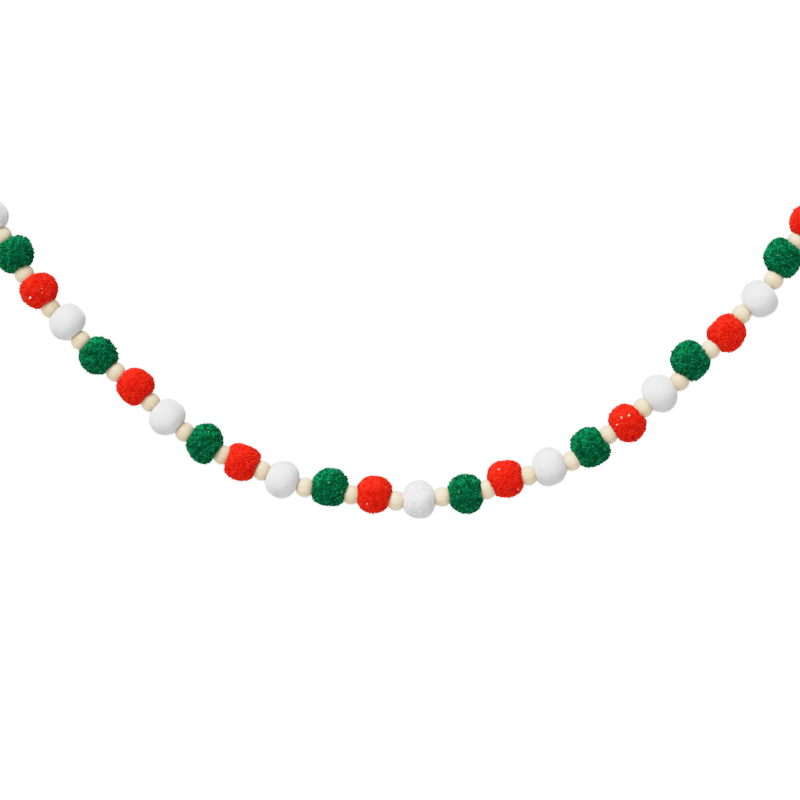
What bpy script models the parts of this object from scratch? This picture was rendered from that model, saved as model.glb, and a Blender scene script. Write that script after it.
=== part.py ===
"""Pom pom garland: pile balls and turned wooden beads threaded in turn on one string.

The garland hangs in one long swag, held by a knotted loop at each end. Every pompom and bead has a
real bore, and the string runs through all of them from knot to knot. The pile has no even outline:
each pompom has its own lobes and dents, a hollow where each bead presses into it, and short locks
that stand above the rest of the pile.

Frame: +X along the swag to the viewer's right, +Y away from the viewer, +Z up. The origin is the
inside of the left loop's top, where a nail or hook holds the garland.
"""

import math
import random

import bmesh
import bpy
from mathutils import Vector, noise

MM = 0.001

# How the garland hangs: a catenary through its pompoms
PITCH = 24.0 * MM                # from one pompom to the next, along the string
SWAG_RADIUS = 182.0 * MM         # the catenary's radius at its lowest point
LOWEST_POMPOM = 12.6             # where the lowest point is, counted in pompoms from the left

# String, knots and loops
STRING_RADIUS = 0.6 * MM
CORD_SIDES = 8
KNOT_RADIUS = 1.9 * MM
KNOT_HALF_LENGTH = 2.3 * MM
KNOT_SIDES = 12
LOOP_LENGTH = 28.0 * MM          # from the knot's middle to the middle of the cord at the top
LOOP_HALF_WIDTH = 6.8 * MM
LOOP_FULLNESS = 1.3              # makes the teardrop as wide as LOOP_HALF_WIDTH says
LOOP_ROOT = 0.75 * MM            # how far each leg of the loop lies from the knot's axis
LOOP_STEPS = 20
TAIL_LENGTH = 8.0 * MM
TAIL_FORWARD = 0.35              # how far the cut tail stands out to the viewer, as a share of it
TAIL_DROOP = 0.6
TAIL_STEPS = 5
KNOT_PROFILE = [
    # share of the half length, share of the radius
    (-1.0, 0.55),
    (-0.8, 0.95),
    (-0.33, 0.82),
    (0.0, 1.0),
    (0.33, 0.82),
    (0.8, 0.95),
    (1.0, 0.55),
]

# Pompoms
PILE_SHAPES = {
    # colour: radius, swell round each bead that presses in, how much less it reaches at the string (mm)
    "white": (9.85, 0.0, 2.0),
    "green": (10.15, 0.15, 0.0),
    "red": (9.75, 0.3, 0.0),
}
PILE_BORE = 1.1 * MM
SHOULDER_ANGLE = math.radians(45)    # where the pile swells most, from the string's direction
SHOULDER_SPREAD = math.radians(25)
NECK_SPREAD = math.radians(28)       # how far from the string a pile that reaches less there does so
PILE_UNEVENNESS = 0.5 * MM
UNEVENNESS_PER_RADIUS = 2.3      # how closely the small unevenness follows on itself
UNEVENNESS_STRIDE = 7.3          # keeps one pompom's unevenness unlike the next one's
LUMP_SPREAD = math.radians(27)   # how far round the pompom a lobe or dent fades out
LOCK_HEIGHT = 0.9 * MM
LOCK_HEIGHT_SPREAD = 0.3 * MM
POMPOM_SIDES = 14
POMPOM_RINGS = (17, 26, 38, 58, 79, 101, 122, 142, 154, 163)   # degrees from the string's direction
LOCKS_IN_BAND = {3: 2, 4: 3, 5: 2, 6: 3, 7: 2}   # band between rings: its locks
LOCK_STAGGER = 5                 # sides by which one band's locks are turned from the last one's

# Beads
BEAD_RADIUS = 5.3 * MM
BEAD_HALF_LENGTH = 4.6 * MM
BEAD_BORE = 1.4 * MM
BEAD_SIDES = 12
BEAD_ARC_STEPS = 4
BEAD_CLEARANCE = 0.5 * MM        # what the pile leaves free around a bead

PIECE_GAP = 0.3 * MM             # between a knot and what it meets

COLOURS = {
    # name: base colour, roughness
    "white": ((0.83, 0.83, 0.84), 0.95),
    "green": ((0.006, 0.13, 0.05), 0.95),
    "red": ((0.72, 0.025, 0.015), 0.95),
    "wood": ((0.84, 0.70, 0.52), 0.55),
    "string": ((0.86, 0.83, 0.76), 0.9),
}

# One row for each pompom, from the left: its colour, how far it lies from its even place along and
# across the string, how far the next bead lies above the line between its neighbours (mm), and its
# lobes and dents as seen from the front (degrees from +X towards +Z, mm above the even pile).
POMPOMS = [
    # colour, along, across, bead, lobes and dents
    ("white", 1.9, 1.1, -0.2, ((0, 0.3), (250, 0.4))),
    ("green", 1.7, 0.6, -1.6, ((45, 0.9), (235, 0.6))),
    ("red", 0.8, -0.6, -1.8, ((35, 0.8), (180, 0.9), (105, -0.9))),
    ("white", -0.5, 0.2, -1.4, ((60, 0.2), (215, 0.4), (265, 0.5))),
    ("green", -0.2, -0.1, -0.85, ((0, 0.6), (90, 0.5), (190, 0.3), (335, 0.7))),
    ("red", 1.4, 1.5, -0.5, ((15, 0.8), (268, 0.9), (110, -0.4))),
    ("white", 1.1, -0.8, -1.2, ((25, 0.7), (225, 0.7))),
    ("green", 1.5, -1.4, -1.1, ((62, 1.2), (252, 1.2), (300, 0.7), (95, 0.3), (215, -0.6))),
    ("red", -0.4, -1.0, 0.1, ((26, 1.2), (108, 1.3), (212, 0.8), (66, -0.6))),
    ("white", -1.4, -1.2, -2.15, ((40, 0.9), (275, 0.4))),
    ("green", 0.3, 1.5, -2.2, ((72, 1.1), (25, 0.5), (215, 1.1), (316, 1.2), (266, -0.5))),
    ("red", 0.5, 1.3, -2.1, ((45, 0.6), (250, 0.9), (120, 0.3))),
    ("white", 0.5, -1.3, -0.15, ((75, 0.8), (285, 0.9), (225, 0.3))),
    ("green", 1.4, -1.3, -1.9, ((100, 0.9), (55, 0.5), (292, 0.9), (150, 0.4))),
    ("red", 0.0, 1.2, -1.65, ((55, 1.5), (128, 1.1), (318, 0.9), (228, 0.6), (92, -0.7))),
    ("white", 0.3, -1.1, -2.4, ((95, 0.8), (262, 1.0), (320, 0.3))),
    ("green", 0.1, -1.9, 0.25, ((75, 1.2), (145, 1.5), (335, 1.6), (260, 1.0))),
    ("red", -0.5, -1.7, 0.2, ((115, 1.0), (150, 0.6), (300, 1.1), (355, 0.7))),
    ("white", -1.2, 0.3, -3.4, ((140, 0.9), (300, 1.1), (60, 0.4))),
    ("green", -1.2, 2.4, -1.85, ((105, 1.2), (285, 1.0), (350, 1.2), (60, 0.4), (170, 0.9), (248, 0.4))),
    ("red", -0.9, -1.6, 1.2, ((178, 1.8), (92, 0.8), (290, 0.9), (137, -1.4), (320, -0.6), (0, 0.6))),
    ("white", -0.2, -3.0, -1.5, ((115, 0.9), (335, 1.0), (250, 0.3))),
    ("green", 1.0, 0.3, -0.8, ((110, 1.4), (290, 1.1), (172, 0.6))),
    ("red", -0.2, 0.0, 0.0, ((150, 0.6), (20, 0.5))),
]


class Pompom:
    """A pompom's place on the string, and what presses into it on both sides."""

    def __init__(self, number, row, centre):
        self.number = number
        self.colour = row[0]
        self.bead_lift = row[3] * MM
        self.lumps = [(front_direction(angle), height * MM) for angle, height in row[4]]
        self.centre = centre
        self.back = self.front = None    # the string's direction where it comes in and goes out
        self.beads = []                  # the beads on both sides, as offsets from the centre


class Bead:
    """A bead's place: its middle and the direction of its bore."""

    def __init__(self, centre, axis):
        self.centre = centre
        self.axis = axis
        self.ends = [centre - axis * BEAD_HALF_LENGTH, centre + axis * BEAD_HALF_LENGTH]


def front_direction(angle):
    """A direction in the plane that faces the viewer, from its angle in degrees."""
    return Vector((math.cos(math.radians(angle)), 0, math.sin(math.radians(angle))))


def upward(axis):
    """The direction across the string, in the swag's plane and on its upper side."""
    return Vector((-axis.z, 0, axis.x))


def hanging_place(length):
    """The point and direction of the hanging curve at a length from its lowest point."""
    x = SWAG_RADIUS * math.asinh(length / SWAG_RADIUS)
    z = SWAG_RADIUS * (math.cosh(x / SWAG_RADIUS) - 1)
    return Vector((x, 0, z)), Vector((1, 0, length / SWAG_RADIUS)).normalized()


def thread():
    """Places every pompom and bead along the string, with the lowest point as origin."""
    pompoms = []
    for number, row in enumerate(POMPOMS, start=1):
        point, axis = hanging_place((number - LOWEST_POMPOM) * PITCH)
        centre = point + axis * row[1] * MM + upward(axis) * row[2] * MM
        pompom = Pompom(number, row, centre)
        pompom.back = pompom.front = axis
        pompoms.append(pompom)
    beads = []
    for left, right in zip(pompoms, pompoms[1:]):
        axis = (right.centre - left.centre).normalized()
        middle = (left.centre + right.centre) / 2
        bead = Bead(middle + upward(axis) * left.bead_lift, axis)
        left.front = (bead.ends[0] - left.centre).normalized()
        right.back = (right.centre - bead.ends[1]).normalized()
        left.beads.append(bead.centre - left.centre)
        right.beads.append(bead.centre - right.centre)
        beads.append(bead)
    return pompoms, beads


def sphere_ahead(direction, centre, radius):
    """How far a ray from the origin goes before it meets a sphere, or a very long way."""
    nearest = direction.dot(centre)
    inside = nearest ** 2 - centre.length_squared + radius ** 2
    if nearest <= 0 or inside <= 0:
        return math.inf
    return nearest - math.sqrt(inside)


def pile_reach(pompom, direction):
    """How far a pompom's pile reaches from its centre in one direction."""
    from_string = math.acos(min(abs(direction.dot((pompom.back + pompom.front).normalized())), 1))
    off_shoulder = (from_string - SHOULDER_ANGLE) / SHOULDER_SPREAD
    radius, shoulder, neck = PILE_SHAPES[pompom.colour]
    reach = radius + shoulder * math.exp(-off_shoulder ** 2)
    reach = (reach - neck * math.exp(-(from_string / NECK_SPREAD) ** 2)) * MM
    for lump, height in pompom.lumps:
        reach += height * math.exp(-(direction.angle(lump) / LUMP_SPREAD) ** 2)
    place = direction * UNEVENNESS_PER_RADIUS + Vector((UNEVENNESS_STRIDE * pompom.number, 0, 0))
    reach += PILE_UNEVENNESS * noise.noise(place)
    seats = [sphere_ahead(direction, bead, BEAD_RADIUS + BEAD_CLEARANCE) for bead in pompom.beads]
    return min([reach] + seats)


def ring_directions(axis, sides):
    """Unit directions evenly around an axis."""
    side = axis.cross(Vector((0, 1, 0))).normalized()
    depth = side.cross(axis)
    turns = [2 * math.pi * step / sides for step in range(sides)]
    return [side * math.cos(turn) + depth * math.sin(turn) for turn in turns]


def mouth_angle(pompom, outward):
    """The angle at which the bore's wall meets the pile, on the side that outward points to."""
    return math.asin(PILE_BORE / pile_reach(pompom, outward))


def pompom_rings(pompom):
    """Rings of points from the bore's mouth on one side to the other, then the bore's middle."""
    first = mouth_angle(pompom, -pompom.back)
    last = math.pi - mouth_angle(pompom, pompom.front)
    rings = []
    for polar in [first] + [math.radians(angle) for angle in POMPOM_RINGS] + [last]:
        axis = pompom.back.slerp(pompom.front, (1 - math.cos(polar)) / 2)
        ring = []
        for around in ring_directions(axis, POMPOM_SIDES):
            direction = around * math.sin(polar) - axis * math.cos(polar)
            ring.append(pompom.centre + direction * pile_reach(pompom, direction))
        rings.append(ring)
    middle = pompom.back.slerp(pompom.front, 0.5)
    rings.append([pompom.centre + way * PILE_BORE for way in ring_directions(middle, POMPOM_SIDES)])
    return rings


def bead_rings(bead):
    """Rings of points round a bead: its bore's mouth, its flat end, its round side and back."""
    flat = math.acos(BEAD_HALF_LENGTH / BEAD_RADIUS)
    profile = [(-BEAD_HALF_LENGTH, BEAD_BORE)]
    for step in range(BEAD_ARC_STEPS + 1):
        polar = flat + (math.pi - 2 * flat) * step / BEAD_ARC_STEPS
        profile.append((-BEAD_RADIUS * math.cos(polar), BEAD_RADIUS * math.sin(polar)))
    profile.append((BEAD_HALF_LENGTH, BEAD_BORE))
    around = ring_directions(bead.axis, BEAD_SIDES)
    return [[bead.centre + bead.axis * along + way * out for way in around] for along, out in profile]


def knot_rings(centre, axis):
    """Rings of points of a knot: three turns of cord beside each other, rounded at both ends."""
    around = ring_directions(axis, KNOT_SIDES)
    rings = []
    for along, out in KNOT_PROFILE:
        middle = centre + axis * along * KNOT_HALF_LENGTH
        rings.append([middle + way * out * KNOT_RADIUS for way in around])
    return rings


def cord_rings(points):
    """Rings of points round a cord that bends in one plane or nearly so."""
    rings = []
    for place, point in enumerate(points):
        before, after = points[max(place - 1, 0)], points[min(place + 1, len(points) - 1)]
        around = ring_directions((after - before).normalized(), CORD_SIDES)
        rings.append([point + way * STRING_RADIUS for way in around])
    return rings


def make_material(name, base_colour, roughness):
    """A plain material of one colour."""
    material = bpy.data.materials.new(name)
    material.use_nodes = True
    shader = material.node_tree.nodes["Principled BSDF"]
    shader.inputs["Base Color"].default_value = (*base_colour, 1)
    shader.inputs["Roughness"].default_value = roughness
    shader.inputs["Metallic"].default_value = 0
    return material


def add_object(name, data, material):
    """Puts a mesh or curve into the scene as a named object with its own copy of the material."""
    data.materials.append(material.copy())
    thing = bpy.data.objects.new(name, data)
    bpy.context.scene.collection.objects.link(thing)
    return thing


def ring_mesh(rings, bored):
    """A closed mesh that joins each ring to the next: through a bore, or capped at both ends."""
    mesh = bmesh.new()
    loops = [[mesh.verts.new(point) for point in ring] for ring in rings]
    pairs = list(zip(loops, loops[1:]))
    if bored:
        pairs.append((loops[-1], loops[0]))
    bands = []
    for low, high in pairs:
        band = []
        for side in range(len(low)):
            after = (side + 1) % len(low)
            band.append(mesh.faces.new((low[side], low[after], high[after], high[side])))
        bands.append(band)
    if not bored:
        mesh.faces.new(loops[0])
        mesh.faces.new(loops[-1])
    bmesh.ops.recalc_face_normals(mesh, faces=mesh.faces)
    return mesh, bands


def finish_mesh(name, mesh):
    """Turns an edited mesh into mesh data that is shaded smooth."""
    data = bpy.data.meshes.new(name)
    mesh.to_mesh(data)
    mesh.free()
    data.shade_smooth()
    return data


def raise_locks(mesh, bands, number):
    """Lifts short four-sided locks out of the pile, spread round the pompom."""
    rolls = random.Random(number)
    start = rolls.randrange(POMPOM_SIDES)
    for band, count in LOCKS_IN_BAND.items():
        for lock in range(count):
            side = (start + LOCK_STAGGER * band + lock * POMPOM_SIDES // count) % POMPOM_SIDES
            height = LOCK_HEIGHT + rolls.uniform(-1, 1) * LOCK_HEIGHT_SPREAD
            bmesh.ops.poke(mesh, faces=[bands[band][side]], offset=height)


def make_pompom(pompom, origin, materials):
    """One pompom with its bore and its locks."""
    name = f"pompom_{pompom.number:02d}"
    rings = [[point - origin for point in ring] for ring in pompom_rings(pompom)]
    mesh, bands = ring_mesh(rings, bored=True)
    raise_locks(mesh, bands, pompom.number)
    add_object(name, finish_mesh(name, mesh), materials[pompom.colour])


def make_bead(number, bead, origin, materials):
    """One turned bead with its bore."""
    name = f"bead_{number:02d}"
    rings = [[point - origin for point in ring] for ring in bead_rings(bead)]
    mesh, _ = ring_mesh(rings, bored=True)
    add_object(name, finish_mesh(name, mesh), materials["wood"])


def make_string(points, material):
    """The string: a round cord along a list of points, closed at both ends."""
    curve = bpy.data.curves.new("string", "CURVE")
    curve.dimensions = "3D"
    curve.bevel_depth = STRING_RADIUS
    curve.bevel_resolution = 2
    curve.use_fill_caps = True
    curve.render_resolution_u = 0
    spline = curve.splines.new("POLY")
    spline.points.add(len(points) - 1)
    for place, point in zip(spline.points, points):
        place.co = (*point, 1)
    add_object("string", curve, material)


def loop_points(knot, outward, across):
    """The loop's route: out of the knot on one side, round its top and back in on the other."""
    points = []
    for step in range(LOOP_STEPS + 1):
        turn = 2 * math.pi * step / LOOP_STEPS
        along = LOOP_LENGTH * (1 - math.cos(turn)) / 2
        wide = LOOP_FULLNESS * LOOP_HALF_WIDTH * math.sin(turn) * math.sin(turn / 2)
        wide += LOOP_ROOT * math.cos(turn / 2)
        points.append(knot + outward * along + across * wide)
    return points


def tail_points(knot, across):
    """The cut tail's route: out of the knot's lower side, then down under its own weight."""
    points = []
    forward, down = Vector((0, -TAIL_FORWARD, 0)), Vector((0, 0, -TAIL_DROOP))
    for step in range(TAIL_STEPS + 1):
        share = step / TAIL_STEPS
        points.append(knot + (forward * share - across * share + down * share ** 2) * TAIL_LENGTH)
    return points


def fuse_cord(target, name, points, material):
    """Fuses a stretch of cord into the target with a Boolean union, and keeps it as a hidden guide."""
    mesh, _ = ring_mesh(cord_rings(points), bored=False)
    piece = add_object(name, finish_mesh(name, mesh), material)
    union = target.modifiers.new("fuse " + name, "BOOLEAN")
    union.operation = "UNION"
    union.object = piece
    piece.hide_render = True
    piece.display_type = "WIRE"


def make_loop(name, knot, outward, materials):
    """An end loop: the knot, the loop and the cut tail, fused into one solid."""
    mesh, _ = ring_mesh(knot_rings(knot, outward), bored=False)
    solid = add_object(name, finish_mesh(name, mesh), materials["string"])
    across = upward(outward) if outward.x > 0 else -upward(outward)
    fuse_cord(solid, name + "_eye", loop_points(knot, outward, across), materials["string"])
    fuse_cord(solid, name + "_tail", tail_points(knot, across), materials["string"])


def knot_place(pompom, outward):
    """A knot's middle, where its face rests against the pile of the last pompom."""
    return pompom.centre + outward * (pile_reach(pompom, outward) + PIECE_GAP + KNOT_HALF_LENGTH)


def string_points(pompoms, beads, left_end, right_end):
    """The string's route from knot to knot: straight through each bead, bent in each pompom."""
    points = [left_end]
    for pompom, bead in zip(pompoms, beads):
        points += [pompom.centre] + bead.ends
    return points + [pompoms[-1].centre, right_end]


def build():
    """Builds the whole garland."""
    for thing in list(bpy.data.objects):
        bpy.data.objects.remove(thing)
    materials = {name: make_material(name, *look) for name, look in COLOURS.items()}
    pompoms, beads = thread()
    left_way, right_way = -pompoms[0].back, pompoms[-1].front
    left_knot, right_knot = knot_place(pompoms[0], left_way), knot_place(pompoms[-1], right_way)
    origin = left_knot + left_way * (LOOP_LENGTH - STRING_RADIUS)

    for pompom in pompoms:
        make_pompom(pompom, origin, materials)
    for number, bead in enumerate(beads, start=1):
        make_bead(number, bead, origin, materials)
    short = KNOT_HALF_LENGTH + PIECE_GAP
    route = string_points(pompoms, beads, left_knot - left_way * short, right_knot - right_way * short)
    make_string([point - origin for point in route], materials["string"])
    make_loop("loop_left", left_knot - origin, left_way, materials)
    make_loop("loop_right", right_knot - origin, right_way, materials)


build()
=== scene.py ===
"""Looks of the pom pom garland: trimmed pile, turned wooden beads, twisted string, loops and knots.

The pieces follow the solids of the frame: the pile is measured on them, and the string repeats the
route that threads them. Frame: +X to the viewer's right, +Y away from the viewer, +Z up, in metres.
"""

import math

import bpy
import numpy as np
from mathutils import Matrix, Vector
from mathutils.bvhtree import BVHTree


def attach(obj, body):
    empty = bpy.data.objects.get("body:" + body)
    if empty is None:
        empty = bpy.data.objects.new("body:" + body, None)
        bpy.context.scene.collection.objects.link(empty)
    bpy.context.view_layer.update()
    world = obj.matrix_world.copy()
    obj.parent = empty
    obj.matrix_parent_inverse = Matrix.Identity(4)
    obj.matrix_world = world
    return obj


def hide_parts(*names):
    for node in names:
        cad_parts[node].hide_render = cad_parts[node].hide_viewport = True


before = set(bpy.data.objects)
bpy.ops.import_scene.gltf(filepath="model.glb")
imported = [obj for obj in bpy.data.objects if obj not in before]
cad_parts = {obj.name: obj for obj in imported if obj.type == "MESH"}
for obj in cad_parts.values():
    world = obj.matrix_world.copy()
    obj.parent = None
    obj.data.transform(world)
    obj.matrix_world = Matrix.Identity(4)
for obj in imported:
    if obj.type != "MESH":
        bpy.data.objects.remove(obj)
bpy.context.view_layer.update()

MM = 0.001
BODY = "root"
GOLDEN_ANGLE = math.pi * (3 - math.sqrt(5))
THIRDS = (0, 2 * math.pi / 3, 4 * math.pi / 3)    # of a full turn

# How the string runs, as in the solids: a catenary with each piece a little off its even place
PITCH = 24.0 * MM                # from pompom to pompom along the string
SWAG_RADIUS = 182.0 * MM         # of the catenary at its lowest point
LOWEST_POMPOM = 12.6             # where that lies, counted in pompoms from the left
LOWEST_POINT = np.array((239.15, 0, -181.28)) * MM     # the catenary's lowest point in the frame
LEFT_KNOT = np.array((14.99, 0, -22.93)) * MM
RIGHT_KNOT = np.array((463.72, 0, -24.47)) * MM

# Beads
BEAD_HALF_LENGTH = 4.6 * MM
BEAD_RADIUS = 5.3 * MM
BEAD_BORE = 1.4 * MM
BEAD_SIDES = 48
BEAD_STEPS = 9
RIM_ANGLE = 0.07                 # what the flat end's rounded rim takes of the ball (radians)
BEAD_OVAL = 0.006                # how far a bead is out of round, as a share of its radius
BEAD_SIZES = (0.985, 1.005)      # as shares of the solid's size
GRAIN_PLACES = 40                # a bead is cut this far at most from the wood's middle (mm)

# String: three plies that wind round each other, in the solids' knots, loops and tails
STRING_RADIUS = 0.6 * MM
STRING_SIDES = 12
STRING_SHORT = 2.6 * MM          # the string's ends stop this far from the middles of the knots
PLIES = 3
PLY_TURN = 3.4 * MM              # length of string in which a ply goes once round
PLY_RADIUS = 0.66                # as shares of the string's radius
PLY_OFFSET = 0.36
STRING_STEP = 0.40 * MM          # between two rings of points
LOOP_STEP = 0.20 * MM
LOOP_LENGTH = 28.0 * MM
LOOP_HALF_WIDTH = 6.8 * MM
LOOP_FULLNESS = 1.3              # brings its widest place to LOOP_HALF_WIDTH
LOOP_ROOT = 0.75 * MM            # how far its two legs start from the knot's middle line
LOOP_POINTS = 120
WRAPS = 3.2                      # turns of the string round the foot of its loop
WRAP_RADIUS = 1.3 * MM
WRAP_HALF_LENGTH = 1.7 * MM
WRAP_POINTS = 90
KNOT_CORE = 0.85                 # how far the string reaches into a knot's foot, of STRING_SHORT
TUBE_END = 0.8                   # how thick the string is at its ends, as a share
TAIL_LENGTH = 8.0 * MM
TAIL_FORWARD = 0.35              # as shares of TAIL_LENGTH
TAIL_DROOP = 0.6
TAIL_START = 0.12                # where the tail's line leaves the wraps, as a share of it
TAIL_POINTS = 24
FRAYED = 60                      # loose fibres at a tail's cut end
FRAY_LENGTH = 1.1 * MM
FRAY_WIDTH = 0.09 * MM
FRAY_ROOT = 0.4                  # how far back they start, as a share of FRAY_LENGTH
FRAY_OUT = 0.7                   # how far out they start, as a share of the string's radius
FRAY_LENGTHS = (0.3, 1.0)        # as shares of FRAY_LENGTH
FRAY_SPLAY = (0.1, 0.7)          # how far aside they end, as shares of their own length

# Camera: the photograph's centre and width at the garland's plane
VIEW_CENTRE = Vector(LOWEST_POINT) + Vector((0.07, 0, 52.08)) * MM
VIEW_DISTANCE = 1.7775
LENS = 150.0                     # focal length (mm)
SENSOR = 36.0                    # width (mm)

# Floor, room and lamp
FLOOR_HEIGHT = -0.55
FLOOR_HALF = 30.0                # half of its width
FLOOR_TONE = 0.735
ROOM_COLOUR = (0.98, 0.99, 1.0)
ROOM_GLOW = (0.28, 1.00)         # its light from the horizon and from straight above
ROOM_SEEN = 1.5                  # how bright the camera sees it
LAMP_LIGHT = 5.3
LAMP_WIDTH = math.radians(40)    # as seen from the garland
LAMP_PLACE = (-0.36, -0.58, 0.73)

# The photograph's tones: bright places lie closer together than in plain light
TONE_WHITE = 1.41                # light that shows as pure white
TONES = [
    # light, as shown
    (0.1, 0.12),
    (0.3, 0.345),
    (0.5, 0.53),
    (0.7, 0.68),
    (0.9, 0.785),
    (1.1, 0.848),
    (1.3, 0.89),
]

# One row for each pompom, from the left: its colour, and how far it and the next bead lie off (mm)
POMPOMS = [
    # colour, along, across, bead
    ("white", 1.9, 1.1, -0.2),
    ("green", 1.7, 0.6, -1.6),
    ("red", 0.8, -0.6, -1.8),
    ("white", -0.5, 0.2, -1.4),
    ("green", -0.2, -0.1, -0.85),
    ("red", 1.4, 1.5, -0.5),
    ("white", 1.1, -0.8, -1.2),
    ("green", 1.5, -1.4, -1.1),
    ("red", -0.4, -1.0, 0.1),
    ("white", -1.4, -1.2, -2.15),
    ("green", 0.3, 1.5, -2.2),
    ("red", 0.5, 1.3, -2.1),
    ("white", 0.5, -1.3, -0.15),
    ("green", 1.4, -1.3, -1.9),
    ("red", 0.0, 1.2, -1.65),
    ("white", 0.3, -1.1, -2.4),
    ("green", 0.1, -1.9, 0.25),
    ("red", -0.5, -1.7, 0.2),
    ("white", -1.2, 0.3, -3.4),
    ("green", -1.2, 2.4, -1.85),
    ("red", -0.9, -1.6, 1.2),
    ("white", -0.2, -3.0, -1.5),
    ("green", 1.0, 0.3, -0.8),
    ("red", -0.2, 0.0, 0.0),
]

# Pile
PROBES = 1400                    # directions in which a pompom's solid is measured
SEAT_ANGLE = math.radians(32)    # no measures this near the string, where the beads press in
SEAT_CLEARANCE = 0.1 * MM        # between the pile and a bead or knot
PROBE_START = 20 * MM            # the measures are taken from this far out
FIBRES = 8000                    # on each pompom
FIBRE_STRAY = 0.28               # as shares of how far apart fibres or tufts stand
TUFT_STRAY = 0.25
TIP_STRAY = 0.012                # as a share of the pompom's radius
FIBRE_WIDTHS = (0.75, 1.25)      # as shares of the pile's own width
SPIKE_RISE = 0.06 * MM           # how far a tapered fibre stands above a cut one
PROUD_RISE = 0.45 * MM           # how far a tuft that stands out does so, at its middle
PRESS_SPREAD = math.radians(35)  # how far from the string the beads press the pile together
CORE_LEVELS = 4
# Sets how much of the painted shade toward the roots the inner pile takes (painted light on white pile)
CORE_TALL = 0.35                 # the inner pile's place between a fibre's root and tip
KNOT_REACH = 2.3 * MM            # the pile keeps out of a ball of this radius round a knot


class Pile:
    """How one colour's pile stands: its tufts, its fibres and the closed pile below them."""

    def __init__(self, tufts, spread, lean, width, spiky, softness, proud, **heights):
        self.tufts = tufts               # tufts on a pompom
        self.spread = spread             # how far round the solid is evened out (degrees)
        self.lean = lean                 # how far a fibre's tip leans to its tuft's middle
        self.width = width * MM          # width of a fibre's cut end
        self.spiky = spiky               # share of fibres that taper to a point
        self.softness = softness         # how far fibres are shaded like the pile as a whole
        self.proud = proud               # share of tufts that stand out of the pile
        self.dome = heights["dome"] * MM              # how far a tuft's rim lies below its middle
        self.tuft_rise = heights["tuft_rise"] * MM    # spread of the tufts' heights
        self.fibre_rise = heights["fibre_rise"] * MM
        self.rise = heights["rise"] * MM              # how far the tips stand above the solid
        self.press = heights["press"] * MM            # how much less they do so beside a bead
        self.depth = heights["depth"] * MM            # how far below it the fibres are rooted
        self.core_depth = heights["core_depth"] * MM


PILES = {
    "white": Pile(
        800, spread=8, lean=0.30, width=0.60, spiky=0.30, softness=0.90, proud=0.0,
        dome=0.06, tuft_rise=0.05, fibre_rise=0.05, rise=0.12, press=0.3,
        depth=1.3, core_depth=0.30,
    ),
    "green": Pile(
        700, spread=6, lean=0.45, width=0.48, spiky=0.35, softness=0.18, proud=0.012,
        dome=0.34, tuft_rise=0.18, fibre_rise=0.09, rise=0.3, press=0.5,
        depth=1.8, core_depth=0.9,
    ),
    "red": Pile(
        800, spread=6, lean=0.40, width=0.50, spiky=0.35, softness=0.28, proud=0.008,
        dome=0.27, tuft_rise=0.13, fibre_rise=0.08, rise=0.3, press=0.35,
        depth=1.8, core_depth=0.8,
    ),
}

# A pile's tone, from 0 to 1, comes from its tufts, its single fibres and broad soft mottles
TUFT_TONE = 0.30
FIBRE_TONE = 0.27
MOTTLE_TONE = 0.15
MOTTLES = 9                      # waves that make up the mottles
MOTTLE_WAVES = (9.0, 20.0)       # radians on a ball of radius one

# Where faces lie on their piece's map. A pile's: by tone across, and from root to tip upwards
MAP_NAME = "OFBake"
MAP_EDGE = 0.01
TONE_LEFT, TONE_WIDE = 0.03, 0.85
ROOT_PLACE, FIBRE_TALL = 0.06, 0.82
FLECK_PLACE = 0.915
CORE_LEFT, CORE_WIDE = 0.945, 0.045
FIBRE_HALF_WIDE = 0.008
END_TALL = 0.04

# A bead's faces lie on a grid, round it and along its outline; a cord's on strips side by side,
# with the loose fibres of a cut end beyond the last strip
BORE_SHARE = 0.2                 # how much shorter a bore is on the map than its bead's outside
BEAD_CORNERS = ((0, 0), (0, 1), (1, 1), (1, 0))
CORD_CORNERS = ((0, 0), (1, 0), (1, 1), (0, 1))
CORDS_WIDE = 0.94
STRIP_GAP = 0.006
FRAY_LEFT, FRAY_WIDE, FRAY_TALL = 0.96, 0.025, 0.004
STRING_STRIPS = 12
LOOP_STRIPS = 6

# Where light flecks show in the pile, on the front of a pompom: right and up of its middle (mm)
FLECKS = {
    3: [(2.7, 0.7), (2.7, -1.9), (-3.9, -4.4)],
    8: [(2.7, 6.7)],
    11: [(-0.1, 2.9), (6.8, -2.4)],
    12: [(-3.7, -5.2)],
    14: [(3.6, 7.0), (-3.8, 1.4)],
    15: [(-3.9, 5.8), (6.5, -5.2)],
    17: [(3.9, -7.2)],
    18: [(0.4, 4.5), (-3.9, 3.0), (-6.0, -0.9)],
    23: [(-8.6, 0.8), (-4.2, 1.2)],
}
FLECK_SPREAD = 0.50              # how far from its middle a fleck reaches (mm)
BACK_FLECKS = 3                  # flecks at random places on the back of a coloured pompom
BACK_TURN = 0.3                  # turns them further to the back, away from the rim
PILE_RADIUS = 10.0               # for the flecks' places (mm)


def unit(vectors):
    """Vectors scaled to length one."""
    vectors = np.asarray(vectors, float)
    return vectors / np.linalg.norm(vectors, axis=-1, keepdims=True)


def upward(axis):
    """The direction across the string, in the swag's plane and on its upper side."""
    return np.array((-axis[2], 0, axis[0]))


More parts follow.
